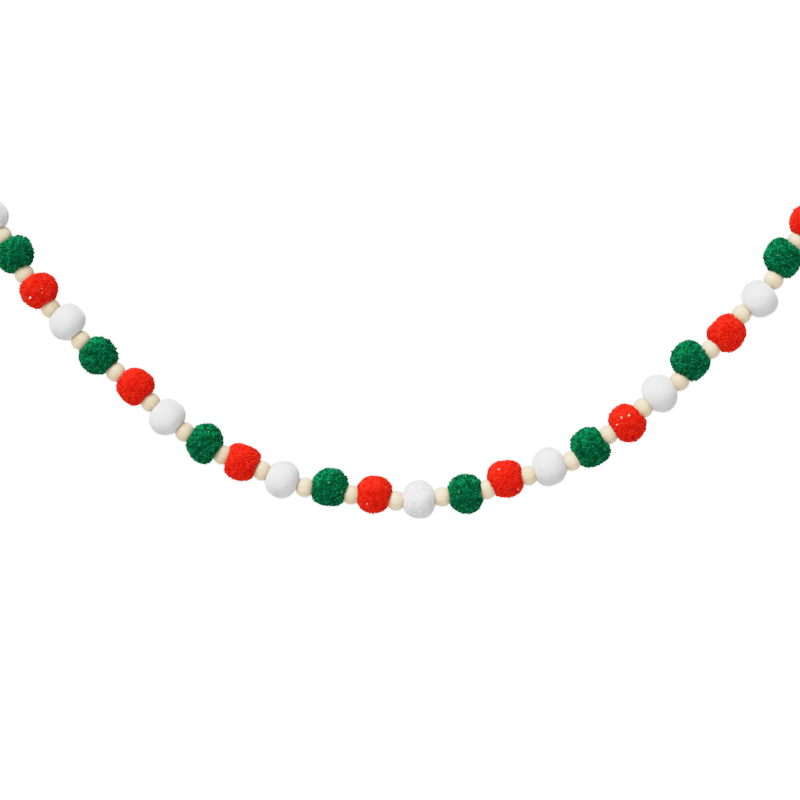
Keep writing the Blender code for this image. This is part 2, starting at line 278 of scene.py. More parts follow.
def thread():
    """The pompoms' centres and the beads' middles and directions, along the string."""
    centres = []
    for number, (_, along, across, _) in enumerate(POMPOMS, start=1):
        length = (number - LOWEST_POMPOM) * PITCH
        x = SWAG_RADIUS * math.asinh(length / SWAG_RADIUS)
        z = SWAG_RADIUS * (math.cosh(x / SWAG_RADIUS) - 1)
        axis = unit((1, 0, length / SWAG_RADIUS))
        centres.append(LOWEST_POINT + (x, 0, z) + (axis * along + upward(axis) * across) * MM)
    beads = []
    for place, (left, right) in enumerate(zip(centres, centres[1:])):
        axis = unit(right - left)
        beads.append(((left + right) / 2 + upward(axis) * POMPOMS[place][3] * MM, axis))
    return centres, beads


def make_camera():
    """The camera at the photograph's angle: level, straight on to the swag's plane."""
    lens = bpy.data.cameras.new("camera")
    lens.lens = LENS
    lens.sensor_width = SENSOR
    camera = bpy.data.objects.new("camera", lens)
    camera.location = VIEW_CENTRE - Vector((0, VIEW_DISTANCE, 0))
    camera.rotation_euler = (math.pi / 2, 0, 0)
    bpy.context.scene.collection.objects.link(camera)
    bpy.context.scene.camera = camera


def make_tones():
    """Shows light as the photograph does."""
    view = bpy.context.scene.view_settings
    view.view_transform = "Standard"
    view.use_curve_mapping = True
    view.curve_mapping.white_level = (TONE_WHITE, TONE_WHITE, TONE_WHITE)
    curve = view.curve_mapping.curves[3]
    for light, shown in TONES:
        curve.points.new(light / TONE_WHITE, shown)
    view.curve_mapping.update()


def make_floor():
    """A plain pale floor far below the garland."""
    mesh = bpy.data.meshes.new("floor")
    corners = [(-FLOOR_HALF, -FLOOR_HALF), (FLOOR_HALF, -FLOOR_HALF)]
    corners += [(FLOOR_HALF, FLOOR_HALF), (-FLOOR_HALF, FLOOR_HALF)]
    mesh.from_pydata([(x, y, FLOOR_HEIGHT) for x, y in corners], [], [(0, 1, 2, 3)])
    floor = bpy.data.objects.new("floor", mesh)
    bpy.context.scene.collection.objects.link(floor)
    material = bpy.data.materials.new("floor")
    material.use_nodes = True
    shader = material.node_tree.nodes["Principled BSDF"]
    shader.inputs["Base Color"].default_value = (FLOOR_TONE, FLOOR_TONE, FLOOR_TONE, 1)
    shader.inputs["Roughness"].default_value = 1.0
    shader.inputs["Specular IOR Level"].default_value = 0.0
    mesh.materials.append(material)


def make_room():
    """A white room, brighter above, that the camera sees as plain white."""
    world = bpy.data.worlds.new("room")
    bpy.context.scene.world = world
    world.use_nodes = True
    nodes, links = world.node_tree.nodes, world.node_tree.links
    background = nodes["Background"]
    background.inputs["Color"].default_value = (*ROOM_COLOUR, 1)
    seen = nodes.new("ShaderNodeBackground")
    seen.inputs["Color"].default_value = (1, 1, 1, 1)
    seen.inputs["Strength"].default_value = ROOM_SEEN
    height = nodes.new("ShaderNodeSeparateXYZ")
    links.new(nodes.new("ShaderNodeTexCoord").outputs["Generated"], height.inputs["Vector"])
    glow = nodes.new("ShaderNodeMapRange")
    glow.inputs["From Min"].default_value = 0.0
    glow.inputs["From Max"].default_value = 1.0
    glow.inputs["To Min"].default_value, glow.inputs["To Max"].default_value = ROOM_GLOW
    links.new(height.outputs["Z"], glow.inputs["Value"])
    links.new(glow.outputs["Result"], background.inputs["Strength"])
    path = nodes.new("ShaderNodeLightPath")
    mix = nodes.new("ShaderNodeMixShader")
    links.new(path.outputs["Is Camera Ray"], mix.inputs["Fac"])
    links.new(background.outputs["Background"], mix.inputs[1])
    links.new(seen.outputs["Background"], mix.inputs[2])
    links.new(mix.outputs["Shader"], nodes["World Output"].inputs["Surface"])


def make_lamp():
    """One large soft lamp, up and to the left in front of the garland."""
    lamp = bpy.data.lights.new("key", "SUN")
    lamp.energy = LAMP_LIGHT
    lamp.angle = LAMP_WIDTH
    key = bpy.data.objects.new("key", lamp)
    key.rotation_euler = Vector(LAMP_PLACE).to_track_quat("Z", "Y").to_euler()
    bpy.context.scene.collection.objects.link(key)


def even_directions(count, rolls, stray):
    """Unit directions spread evenly over a ball, each moved a little at random."""
    place = np.arange(count) + 0.5
    height = 1 - 2 * place / count
    flat = np.sqrt(1 - height ** 2)
    turn = place * GOLDEN_ANGLE
    ways = np.column_stack((flat * np.cos(turn), flat * np.sin(turn), height))
    return unit(ways + rolls.normal(0, stray * math.sqrt(4 * math.pi / count), ways.shape))


def solid_reach(node, centre, ways):
    """How far a CAD solid reaches from its centre in each direction, met from outside."""
    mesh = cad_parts[node].data
    tree = BVHTree.FromPolygons(
        [v.co for v in mesh.vertices], [tuple(p.vertices) for p in mesh.polygons]
    )
    reach = np.zeros(len(ways))
    for place, way in enumerate(ways):
        hit = tree.ray_cast(Vector(centre + way * PROBE_START), Vector(-way), PROBE_START)[0]
        if hit is not None:
            reach[place] = (hit - Vector(centre)).length
    return reach


def sphere_ahead(ways, middle, radius):
    """How far each way from the origin leads before it meets a ball, or a very long way."""
    nearest = ways @ middle
    inside = nearest ** 2 - middle @ middle + radius ** 2
    met = (nearest > 0) & (inside > 0)
    return np.where(met, nearest - np.sqrt(np.maximum(inside, 0)), 1.0)


class Reach:
    """How far one pompom's pile reaches: its solid's measures evened out, less its beads' seats."""

    def __init__(self, node, centre, neighbours, spread, rolls):
        self.seats = neighbours
        self.spread = math.radians(spread)
        ways = even_directions(PROBES, rolls, 0)
        free = np.ones(PROBES, bool)
        for middle, _ in neighbours:
            free &= ways @ unit(middle) < math.cos(SEAT_ANGLE)
        self.ways = ways[free]
        self.measures = solid_reach(node, centre, self.ways)

    def __call__(self, ways):
        nearness = (ways @ self.ways.T - 1) / self.spread ** 2
        weights = np.exp(nearness - nearness.max(axis=1, keepdims=True))
        reach = weights @ self.measures / weights.sum(axis=1)
        return np.minimum(reach, self.seat(ways))

    def pressed(self, ways):
        """How much the pile is pressed together each way: one at the string, none across it."""
        nearness = np.max([ways @ unit(middle) for middle, _ in self.seats], axis=0)
        return np.exp(-(np.arccos(np.clip(nearness, -1, 1)) / PRESS_SPREAD) ** 2)

    def seat(self, ways):
        """How far each way leads before it meets a bead or a knot."""
        return np.min([sphere_ahead(ways, middle, size) for middle, size in self.seats], axis=0)


def across_ways(ways, rolls):
    """For each direction two directions square to it, turned at random."""
    helper = np.where(np.abs(ways[:, 2:]) < 0.7, (0, 0, 1), (1, 0, 0))
    first = unit(np.cross(ways, helper))
    second = np.cross(ways, first)
    turn = rolls.uniform(0, 2 * math.pi, (len(ways), 1))
    return first * np.cos(turn) + second * np.sin(turn), second * np.cos(turn) - first * np.sin(turn)


def ball_points(levels):
    """Points and triangles of a ball of radius one."""
    bpy.ops.mesh.primitive_ico_sphere_add(subdivisions=levels, radius=1)
    ball = bpy.context.object
    points = np.array([v.co for v in ball.data.vertices])
    faces = np.array([tuple(p.vertices) for p in ball.data.polygons])
    mesh = ball.data
    bpy.data.objects.remove(ball)
    bpy.data.meshes.remove(mesh)
    return unit(points), faces


def mesh_object(name, points, faces, material):
    """A smooth-shaded object from arrays of points and faces."""
    mesh = bpy.data.meshes.new(name)
    mesh.from_pydata(np.asarray(points).tolist(), [], [list(face) for face in faces])
    mesh.shade_smooth()
    mesh.materials.append(material)
    thing = bpy.data.objects.new(name, mesh)
    bpy.context.scene.collection.objects.link(thing)
    return thing


def fleck_ways(number, colour, rolls):
    """The directions of one pompom's flecks: those seen from the front, and a few on the back."""
    if colour == "white":
        return np.empty((0, 3))
    spots = FLECKS.get(number, [])
    ways = [(x, -math.sqrt(max(PILE_RADIUS ** 2 - x * x - z * z, 0)), z) for x, z in spots]
    back = rolls.normal(size=(BACK_FLECKS, 3))
    back[:, 1] = np.abs(back[:, 1]) + BACK_TURN
    return unit(np.concatenate((np.reshape(ways, (-1, 3)), back)))


def mottles(ways, rolls):
    """Broad soft lighter and darker places, from about -1 to 1."""
    waves = unit(rolls.normal(size=(MOTTLES, 3))) * rolls.uniform(*MOTTLE_WAVES, (MOTTLES, 1))
    start = rolls.uniform(0, 2 * math.pi, MOTTLES)
    return np.sin(ways @ waves.T + start).sum(axis=1) / math.sqrt(MOTTLES)


class Fibres:
    """One pompom's fibres, about its centre: a cut one widens to its end, a tapered one narrows."""

    def __init__(self, reach, pile, rolls):
        ways = even_directions(FIBRES, rolls, FIBRE_STRAY)
        tufts = even_directions(pile.tufts, rolls, TUFT_STRAY)
        closeness = ways @ tufts.T
        tuft = closeness.argmax(axis=1)
        tuft_angle = math.sqrt(4 / pile.tufts)
        off = np.arccos(np.clip(closeness.max(axis=1), -1, 1)) / tuft_angle
        lean = (tufts[tuft] - ways) * pile.lean
        tips = unit(ways + lean + rolls.normal(0, TIP_STRAY, ways.shape))

        height = reach(tips) + pile.rise - pile.press * reach.pressed(tips)
        height += rolls.normal(0, pile.tuft_rise, pile.tufts)[tuft]
        height += rolls.normal(0, pile.fibre_rise, FIBRES) - pile.dome * off ** 2
        proud = rolls.random(pile.tufts) < pile.proud
        height += np.where(proud[tuft], PROUD_RISE * np.maximum(1 - off ** 2, 0), 0)
        spiky = rolls.random(FIBRES) < pile.spiky
        height += np.where(spiky, SPIKE_RISE, 0)
        height = np.minimum(height, reach.seat(tips))
        self.tuft, self.tips, self.spiky = tuft, tips, spiky
        self.roots = ways * (reach(ways) - pile.depth)[:, None]
        self.ends = tips * height[:, None]

    def mesh(self, pile, rolls):
        """Points and faces: each fibre has a point at one end and three corners at the other."""
        first, second = across_ways(unit(self.ends - self.roots), rolls)
        width = pile.width / 2 * rolls.uniform(*FIBRE_WIDTHS, (FIBRES, 1))
        pointed = self.spiky[:, None]
        points = [np.where(pointed, self.ends, self.roots)]
        for turn in THIRDS:
            out = (first * math.cos(turn) + second * math.sin(turn)) * width
            points.append(np.where(pointed, self.roots, self.ends) + out)
        start = np.arange(FIBRES)[:, None] * 4
        faces = []
        for low, high in ((1, 2), (2, 3), (3, 1)):
            faces.append(start + np.where(pointed, (0, low, high), (0, high, low)))
        faces.append(start + np.where(pointed, (3, 2, 1), (1, 2, 3)))
        return np.stack(points, axis=1).reshape(-1, 3), np.stack(faces, axis=1).reshape(-1, 3)

    def shades(self, pile, flecks, rolls):
        """Each point's fibre's tone, a number of the fibre's own, root or tip, which sets the painted
        shade toward the roots (painted light on white pile), and fleck or not.
        """
        tone = 0.5 + TUFT_TONE * rolls.uniform(-1, 1, pile.tufts)[self.tuft]
        tone = tone + MOTTLE_TONE * mottles(self.tips, rolls)
        tone = np.clip(tone + FIBRE_TONE * rolls.uniform(-1, 1, FIBRES), 0, 1)
        shade = np.zeros((FIBRES, 4, 4))
        shade[..., 0] = tone[:, None]
        shade[..., 1] = rolls.random((FIBRES, 1))
        shade[..., 2] = np.where(self.spiky[:, None], (1, 0, 0, 0), (0, 1, 1, 1))
        if len(flecks):
            near = np.arccos(np.clip((self.tips @ flecks.T).max(axis=1), -1, 1)) * PILE_RADIUS
            shade[..., 3] = (near < FLECK_SPREAD)[:, None]
        return shade

    def places(self, shade):
        """Each point's place on the map: by tone across, and from root to tip upwards."""
        tone, fleck = shade[:, 0, 0], shade[:, 0, 3] > 0
        across = np.where(fleck, FLECK_PLACE, TONE_LEFT + TONE_WIDE * tone)
        places = np.zeros((FIBRES, 4, 2))
        places[..., 0] = across[:, None] + np.array((0, -1, 1, 0)) * FIBRE_HALF_WIDE
        places[..., 1] = ROOT_PLACE + FIBRE_TALL * shade[..., 2]
        places[:, 3, 1] += np.where(self.spiky, -END_TALL, END_TALL)
        return places.reshape(-1, 2)


def soften(thing, outward, share):
    """Turns a pile's shading normals part of the way outward, as light blurs in soft pile."""
    own = np.empty(len(outward) * 3, np.float32)
    thing.data.vertex_normals.foreach_get("vector", own)
    normals = own.reshape(-1, 3) * (1 - share) + outward * share
    thing.data.normals_split_custom_set_from_vertices(unit(normals).tolist())


def lay_on_map(thing, places):
    """Gives each corner of a mesh's faces its place on the map that its colours are kept on."""
    layer = thing.data.uv_layers.new(name=MAP_NAME)
    layer.uv.foreach_set("vector", np.asarray(places, np.float32).ravel())


def corner_grid(across, low, high, corners):
    """Places for the corners of a grid's faces, row by row: each row has its own way across."""
    places = np.zeros((len(low), across.shape[1] - 1, 4, 2))
    for corner, (later, upper) in enumerate(corners):
        places[:, :, corner, 0] = across[:, 1:] if later else across[:, :-1]
        places[:, :, corner, 1] = (high if upper else low)[:, None]
    return places.reshape(-1, 2)


def make_pompom(number, centre, neighbours, ball, material):
    """One pompom: a closed inner pile and the fibres that stand on it."""
    colour = POMPOMS[number - 1][0]
    rolls = np.random.default_rng(number)
    pile = PILES[colour]
    reach = Reach(f"pompom_{number:02d}", centre, neighbours, pile.spread, rolls)
    flecks = fleck_ways(number, colour, rolls)
    fibres = Fibres(reach, pile, rolls)
    points, faces = fibres.mesh(pile, rolls)
    shade = fibres.shades(pile, flecks, rolls)
    core_ways, core_faces = ball
    core = core_ways * (reach(core_ways) - pile.core_depth)[:, None]
    # The inner pile takes part of the painted shade toward the roots (painted light on white pile)
    core_shade = np.tile((0.5, 0.5, CORE_TALL, 0), (len(core), 1))
    core_places = np.column_stack((
        CORE_LEFT + CORE_WIDE * (core_ways[:, 0] + 1) / 2, (core_ways[:, 2] + 1) / 2,
    ))
    faces = np.concatenate((core_faces, faces + len(core)))
    points = np.concatenate((core, points))
    pompom = mesh_object(f"pile_{number:02d}", points + centre, faces, material)
    soften(pompom, unit(points), pile.softness)
    add_shades(pompom, "tuft", np.concatenate((core_shade, shade.reshape(-1, 4))))
    lay_on_map(pompom, np.concatenate((core_places, fibres.places(shade)))[faces.ravel()])
    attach(pompom, BODY)
    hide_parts(f"pompom_{number:02d}")


def add_shades(thing, name, shades):
    """Keeps four numbers for each point of a mesh, for its material to read."""
    layer = thing.data.attributes.new(name, "FLOAT_COLOR", "POINT")
    layer.data.foreach_set("color", np.asarray(shades, np.float32).ravel())


def bead_profile():
    """How far along and out of the bore's line a bead's outline runs, from one mouth to the other."""
    flat = math.acos(BEAD_HALF_LENGTH / BEAD_RADIUS)
    rim = BEAD_RADIUS * math.sin(flat)
    half = [
        # along, out: the bore, the rounding of its mouth, and the flat end up to its rim
        (0.0, BEAD_BORE),
        (BEAD_HALF_LENGTH - 0.35 * MM, BEAD_BORE),
        (BEAD_HALF_LENGTH - 0.10 * MM, BEAD_BORE + 0.12 * MM),
        (BEAD_HALF_LENGTH, BEAD_BORE + 0.35 * MM),
        (BEAD_HALF_LENGTH, rim - 0.25 * MM),
        (BEAD_HALF_LENGTH - 0.06 * MM, rim + 0.02 * MM),
    ]
    ball_start = flat + RIM_ANGLE
    for step in range(1, BEAD_STEPS + 1):
        polar = ball_start + (math.pi / 2 - ball_start) * step / BEAD_STEPS
        half.append((BEAD_RADIUS * math.cos(polar), BEAD_RADIUS * math.sin(polar)))
    return half + [(-along, out) for along, out in half[-2:0:-1]]


def bead_map(profile):
    """Places on the map for the corners of a bead's faces, its bore's drawn together."""
    steps = np.linalg.norm(np.roll(profile, -1, axis=0) - profile, axis=1)
    inside = (profile[:, 1] == BEAD_BORE) & (np.roll(profile[:, 1], -1) == BEAD_BORE)
    steps[inside] *= BORE_SHARE
    up = np.concatenate(([0], np.cumsum(steps))) / steps.sum() * (1 - 2 * MAP_EDGE) + MAP_EDGE
    across = np.tile(np.linspace(MAP_EDGE, 1 - MAP_EDGE, BEAD_SIDES + 1), (len(profile), 1))
    return corner_grid(across, up[:-1], up[1:], BEAD_CORNERS)


def make_bead(number, middle, axis, material):
    """One turned bead, a little uneven, with its own place in the wood's grain."""
    rolls = np.random.default_rng(100 + number)
    profile = np.array(bead_profile())
    turns = 2 * math.pi * np.arange(BEAD_SIDES) / BEAD_SIDES
    spin = rolls.uniform(0, 2 * math.pi)
    oval = 1 + BEAD_OVAL * np.cos(2 * turns + spin)
    size = rolls.uniform(*BEAD_SIZES)
    out = profile[:, 1:2] * oval * size
    along = np.repeat(profile[:, :1] * size, BEAD_SIDES, axis=1)
    local = np.stack((out * np.cos(turns), out * np.sin(turns), along), axis=-1)
    side = upward(axis)
    depth = np.cross(axis, side)
    points = middle + local @ np.array((side, depth, axis))
    rings = len(profile)
    faces = []
    for ring in range(rings):
        for turn in range(BEAD_SIDES):
            low, high = ring * BEAD_SIDES, (ring + 1) % rings * BEAD_SIDES
            after = (turn + 1) % BEAD_SIDES
            faces.append((low + turn, high + turn, high + after, low + after))
    bead = mesh_object(f"turned_{number:02d}", points.reshape(-1, 3), faces, material)
    cos, sin = math.cos(spin), math.sin(spin)
    place = local.reshape(-1, 3) / MM @ np.array(((cos, sin, 0), (-sin, cos, 0), (0, 0, 1)))
    place += rolls.uniform(-GRAIN_PLACES, GRAIN_PLACES, 3)
    tone = np.full((len(place), 1), rolls.random())
    add_shades(bead, "grain", np.concatenate((place, tone), axis=1))
    lay_on_map(bead, bead_map(profile))
    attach(bead, BODY)
    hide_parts(f"bead_{number:02d}")


def spaced(points, step):
    """A line of straight runs as evenly spaced points, and how far along it each lies."""
    points = np.asarray(points)
    lengths = np.concatenate(([0], np.cumsum(np.linalg.norm(np.diff(points, axis=0), axis=1))))
    places = np.linspace(0, lengths[-1], int(lengths[-1] / step) + 1)
    return np.column_stack([np.interp(places, lengths, axis) for axis in points.T]), places


def across_line(line):
    """Two directions across a line at each of its points, which turn as little as they can."""
    ways = unit(np.gradient(line, axis=0))
    side = np.cross(ways[0], (0, 1, 0))
    sides = []
    for way in ways:
        side = unit(side - way * (side @ way))
        sides.append(side)
    return np.array(sides), np.cross(ways, sides)


def twisted_tube(points, step):
    """Points, faces, lay and rings' places of a closed tube of three plies along a line.

    The lay of a point: how far along it is, how far round its ply and how deep between two plies, which
    sets the painted shade in the grooves.
    """
    line, places = spaced(points, step)
    first, second = across_line(line)
    turns = 2 * math.pi * np.arange(STRING_SIDES) / STRING_SIDES
    share = 2 * math.pi / PLIES
    round_ply = (turns[None, :] - 2 * math.pi * places[:, None] / PLY_TURN) % share - share / 2
    out = PLY_OFFSET * np.cos(round_ply)
    out += np.sqrt(PLY_RADIUS ** 2 - (PLY_OFFSET * np.sin(round_ply)) ** 2)
    out[0] *= TUBE_END
    out[-1] *= TUBE_END
    ways = first[:, None] * np.cos(turns)[:, None] + second[:, None] * np.sin(turns)[:, None]
    rings = line[:, None] + ways * out[..., None] * STRING_RADIUS
    count = len(line)
    faces = []
    for ring in range(count - 1):
        low, high = ring * STRING_SIDES, (ring + 1) * STRING_SIDES
        for side in range(STRING_SIDES):
            after = (side + 1) % STRING_SIDES
            faces.append((low + side, low + after, high + after, high + side))
    last = (count - 1) * STRING_SIDES
    faces.append(tuple(range(STRING_SIDES - 1, -1, -1)))
    faces.append(tuple(range(last, last + STRING_SIDES)))
    lay = np.zeros((count, STRING_SIDES, 4))
    lay[..., 0] = places[:, None] / MM
    lay[..., 1] = round_ply / share
    lay[..., 2] = np.abs(round_ply) / share * 2
    lay[..., 3] = np.arange(STRING_SIDES) / STRING_SIDES
    return rings.reshape(-1, 3), faces, lay.reshape(-1, 4), places


def loop_line(knot, outward, across):
    """The loop's line: out of the knot, round its top and back in on the other side."""
    points = []
    for turn in np.linspace(0, 2 * math.pi, LOOP_POINTS):
        along = LOOP_LENGTH * (1 - math.cos(turn)) / 2
        wide = LOOP_FULLNESS * LOOP_HALF_WIDTH * math.sin(turn) * math.sin(turn / 2)
        points.append(knot + outward * along + across * (wide + LOOP_ROOT * math.cos(turn / 2)))
    return points


def knot_line(knot, outward, across):
    """The knot's wraps round the loop's foot, which end in the cut tail."""
    depth = np.cross(outward, across)
    points = []
    for share in np.linspace(0, 1, WRAP_POINTS):
        turn = 2 * math.pi * WRAPS * share
        along = WRAP_HALF_LENGTH * (1 - 2 * share)
        way = -across * math.cos(turn) + depth * math.sin(turn)
        points.append(knot + outward * along + way * WRAP_RADIUS)
    start = points[-1]
    end = knot + tail_place(across, 1)
    for share in np.linspace(TAIL_START, 1, TAIL_POINTS):
        held = (1 - share) ** 2
        points.append(start * held + (knot + tail_place(across, share)) * (1 - held))
    return points, end


def tail_place(across, share):
    """Where the cut tail's line lies from its knot's middle, at a share of its length."""
    return (np.array((0, -TAIL_FORWARD, -TAIL_DROOP * share)) - across) * share * TAIL_LENGTH


def frayed_end(end, way, rolls):
    """Points, faces and lay of the loose fibres at a cut end, which have no rings."""
    across, aside = across_ways(np.tile(way, (FRAYED, 1)), rolls)
    reach = rolls.uniform(*FRAY_LENGTHS, (FRAYED, 1)) * FRAY_LENGTH
    back = FRAY_LENGTH * FRAY_ROOT
    root = end - way * back + across * rolls.uniform(0, FRAY_OUT, (FRAYED, 1)) * STRING_RADIUS
    tip = root + way * (reach + back) + across * reach * rolls.uniform(*FRAY_SPLAY, (FRAYED, 1))
    points = [tip]
    for turn in THIRDS:
        out = aside * math.cos(turn) + np.cross(way, aside) * math.sin(turn)
        points.append(root + out * FRAY_WIDTH)
    start = np.arange(FRAYED)[:, None] * 4
    faces = [start + corners for corners in ((0, 1, 2), (0, 2, 3), (0, 3, 1), (3, 2, 1))]
    lay = np.zeros((FRAYED * 4, 4))
    lay[:, 0] = np.repeat(rolls.uniform(0, 50, FRAYED), 4)
    points = np.stack(points, axis=1).reshape(-1, 3)
    return points, np.stack(faces, axis=1).reshape(-1, 3).tolist(), lay, None


def tube_map(places, strips, strip_length):
    """Places on the map for a tube's corners, from how far along the piece its rings lie."""
    strip = np.floor(places[:-1] / strip_length)
    turn = np.linspace(0, 1, STRING_SIDES + 1)
    strip_wide = CORDS_WIDE / strips
    across = MAP_EDGE + (strip[:, None] + turn) * strip_wide - turn * STRIP_GAP
    scale = (1 - 2 * MAP_EDGE) / (strip_length + STRING_STEP)
    low = MAP_EDGE + (places[:-1] - strip * strip_length) * scale
    high = MAP_EDGE + (places[1:] - strip * strip_length) * scale
    sides = corner_grid(across, low, high, CORD_CORNERS)
    first_end = np.column_stack((across[0, STRING_SIDES - 1::-1], np.full(STRING_SIDES, low[0])))
    last_end = np.column_stack((across[-1, :STRING_SIDES], np.full(STRING_SIDES, high[-1])))
    return np.concatenate((sides, first_end, last_end))


def fray_map(faces):
    """Places on the map for the corners of a cut end's fibres, one above the other."""
    corners = np.reshape(faces, -1)
    fibre, point = corners // 4, corners % 4
    across = FRAY_LEFT + np.where(point == 0, FRAY_WIDE, 0)
    up = MAP_EDGE + (1 - 2 * MAP_EDGE) * (fibre + 0.5) / FRAYED + (point - 2) * FRAY_TALL
    return np.column_stack((across, up))


def make_cord_piece(name, parts, strips, material):
    """One piece of string from its parts' points, faces, lay and rings' places."""
    points, faces, lays, corners = [], [], [], []
    strip_length = sum(places[-1] for *_, places in parts if places is not None) / strips
    first, reached = 0, 0.0
    for part_points, part_faces, lay, places in parts:
        faces += [tuple(first + corner for corner in face) for face in part_faces]
        points.append(part_points)
        lays.append(lay)
        first += len(part_points)
        if places is None:
            corners.append(fray_map(part_faces))
        else:
            corners.append(tube_map(reached + places, strips, strip_length))
            reached += places[-1]
    piece = mesh_object(name, np.concatenate(points), faces, material)
    add_shades(piece, "lay", np.concatenate(lays))
    lay_on_map(piece, np.concatenate(corners))
    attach(piece, BODY)
    return piece


def make_loop(side, knot, outward, material):
    """An end loop: its twisted cord, the wraps of its knot and its frayed tail."""
    rolls = np.random.default_rng(300 + len(side))
    across = upward(outward) if outward[0] > 0 else -upward(outward)
    wraps, end = knot_line(knot, outward, across)
    core = [knot - outward * STRING_SHORT * KNOT_CORE, knot + outward * WRAP_HALF_LENGTH]
    tail_way = unit(np.asarray(wraps[-1]) - wraps[-2])
    parts = [
        twisted_tube(loop_line(knot, outward, across), LOOP_STEP),
        twisted_tube(wraps, LOOP_STEP),
        twisted_tube(core, LOOP_STEP),
        frayed_end(end, tail_way, rolls),
    ]
    piece = make_cord_piece(f"tied_{side}", parts, LOOP_STRIPS, material)
    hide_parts(f"loop_{side}")
    return piece


def make_string(centres, beads, left_way, right_way, material):
    """The string from knot to knot: straight through each bead, bent in each pompom."""
    start = LEFT_KNOT - left_way * STRING_SHORT
    route = [start]
    for centre, (middle, axis) in zip(centres, beads):
        route += [centre, middle - axis * BEAD_HALF_LENGTH, middle + axis * BEAD_HALF_LENGTH]
    route += [centres[-1], RIGHT_KNOT - right_way * STRING_SHORT]
    tube = twisted_tube(route, STRING_STEP)
    piece = make_cord_piece("twisted_string", [tube], STRING_STRIPS, material)
    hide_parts("string")


class Nodes:
    """Short ways to add and join the nodes of one material."""

    def __init__(self, name):
        self.material = bpy.data.materials.new(name)
        self.material.use_nodes = True
        self.tree = self.material.node_tree
        self.shader = self.tree.nodes["Principled BSDF"]

    def join(self, output, target):
        self.tree.links.new(output, target)

    def mix(self, kind, factor, first, second, blend="MIX"):
        """A Mix node of numbers or colours; each input is a socket or a value."""
        node = self.tree.nodes.new("ShaderNodeMix")
        node.data_type = kind
        sockets = {"FLOAT": (0, 2, 3), "RGBA": (0, 6, 7)}[kind]
        if kind == "RGBA":
            node.blend_type = blend
        for place, value in zip(sockets, (factor, first, second)):
            self.feed(node.inputs[place], value)
        return node.outputs[{"FLOAT": 0, "RGBA": 2}[kind]]

    def feed(self, socket, value):
        """Links a socket to another, or sets its value."""
        if isinstance(value, bpy.types.NodeSocket):
            self.tree.links.new(value, socket)
        else:
            socket.default_value = (*value, 1) if isinstance(value, tuple) and len(value) == 3 else value

    def attribute(self, name):
        node = self.tree.nodes.new("ShaderNodeAttribute")
        node.attribute_name = name
        return node

    def noise(self, vector, scale, detail=2.0, roughness=0.5):
        node = self.tree.nodes.new("ShaderNodeTexNoise")
        node.inputs["Scale"].default_value = scale
        node.inputs["Detail"].default_value = detail
        node.inputs["Roughness"].default_value = roughness
        self.feed(node.inputs["Vector"], vector)
        return node.outputs["Fac"]

    def ramp(self, factor, stops):
        """A colour ramp from (position, colour) stops."""
        node = self.tree.nodes.new("ShaderNodeValToRGB")
        elements = node.color_ramp.elements
        while len(elements) < len(stops):
            elements.new(0.5)
        for element, (position, colour) in zip(elements, stops):
            element.position = position
            element.color = (*colour, 1)
        self.feed(node.inputs["Fac"], factor)
        return node.outputs["Color"]

    def bump(self, height, strength, distance):
        node = self.tree.nodes.new("ShaderNodeBump")
        node.inputs["Strength"].default_value = strength
        node.inputs["Distance"].default_value = distance
        self.feed(node.inputs["Height"], height)
        self.feed(self.shader.inputs["Normal"], node.outputs["Normal"])

    def finish(self, colour, roughness, specular, sheen=0.0):
        self.feed(self.shader.inputs["Base Color"], colour)
        self.feed(self.shader.inputs["Roughness"], roughness)
        self.shader.inputs["Specular IOR Level"].default_value = specular
        self.shader.inputs["Sheen Weight"].default_value = sheen
        return self.material


class PileLook:
    """The colours of one kind of pile; root multiplies the fibre's colour toward its root, as painted
    shade on green and red pile and painted light on white pile.
    """

    def __init__(self, dark, base, light, root, fleck, specular, sheen):
        self.dark, self.base, self.light = dark, base, light
        self.root, self.fleck = root, fleck
        self.specular, self.sheen = specular, sheen


# root: painted shade toward the roots of green and red pile, painted light toward the white pile's roots
PILE_LOOKS = {
    "white": PileLook(
        dark=(0.62, 0.62, 0.617), base=(0.635, 0.635, 0.632), light=(0.65, 0.65, 0.647),
        root=(1.20, 1.20, 1.20), fleck=(0.65, 0.65, 0.65), specular=0.0, sheen=0.9,
    ),
    "green": PileLook(
        dark=(0.0006, 0.042, 0.013), base=(0.0012, 0.118, 0.039), light=(0.003, 0.245, 0.092),
        root=(0.50, 0.50, 0.50), fleck=(0.09, 0.34, 0.15), specular=0.03, sheen=0.0,
    ),
    "red": PileLook(
        dark=(0.63, 0.007, 0.003), base=(0.83, 0.016, 0.006), light=(0.94, 0.034, 0.013),
        root=(0.75, 0.6, 0.6), fleck=(0.95, 0.55, 0.45), specular=0.03, sheen=0.0,
    ),
}


WHITE = (1, 1, 1)

STRING_DARK = (0.66, 0.62, 0.54)
STRING_BASE = (0.80, 0.77, 0.69)
STRING_LIGHT = (0.88, 0.86, 0.80)

WOOD_DARK = (0.475, 0.378, 0.243)
WOOD_BASE = (0.515, 0.415, 0.275)
WOOD_LIGHT = (0.55, 0.448, 0.305)

# What a base colour is multiplied by, at some positions in a pattern
WOOD_LINES = ((0.30, (0.86, 0.80, 0.72)), (0.55, WHITE), (0.8, WHITE))
WOOD_PORES = ((0.70, WHITE), (0.76, (0.72, 0.60, 0.46)), (1.0, (0.6, 0.5, 0.4)))
BEAD_TONES = ((0.0, (0.95, 0.93, 0.90)), (0.5, WHITE), (1.0, (1, 0.985, 0.96)))
# Painted shade: darker in the grooves where two plies meet
PLY_GROOVE_SHADE = ((0.55, WHITE), (1.0, (0.62, 0.58, 0.52)))
LINES_SHARE = 0.4                # how strongly the wood's lines and pores show
PORES_SHARE = 0.6

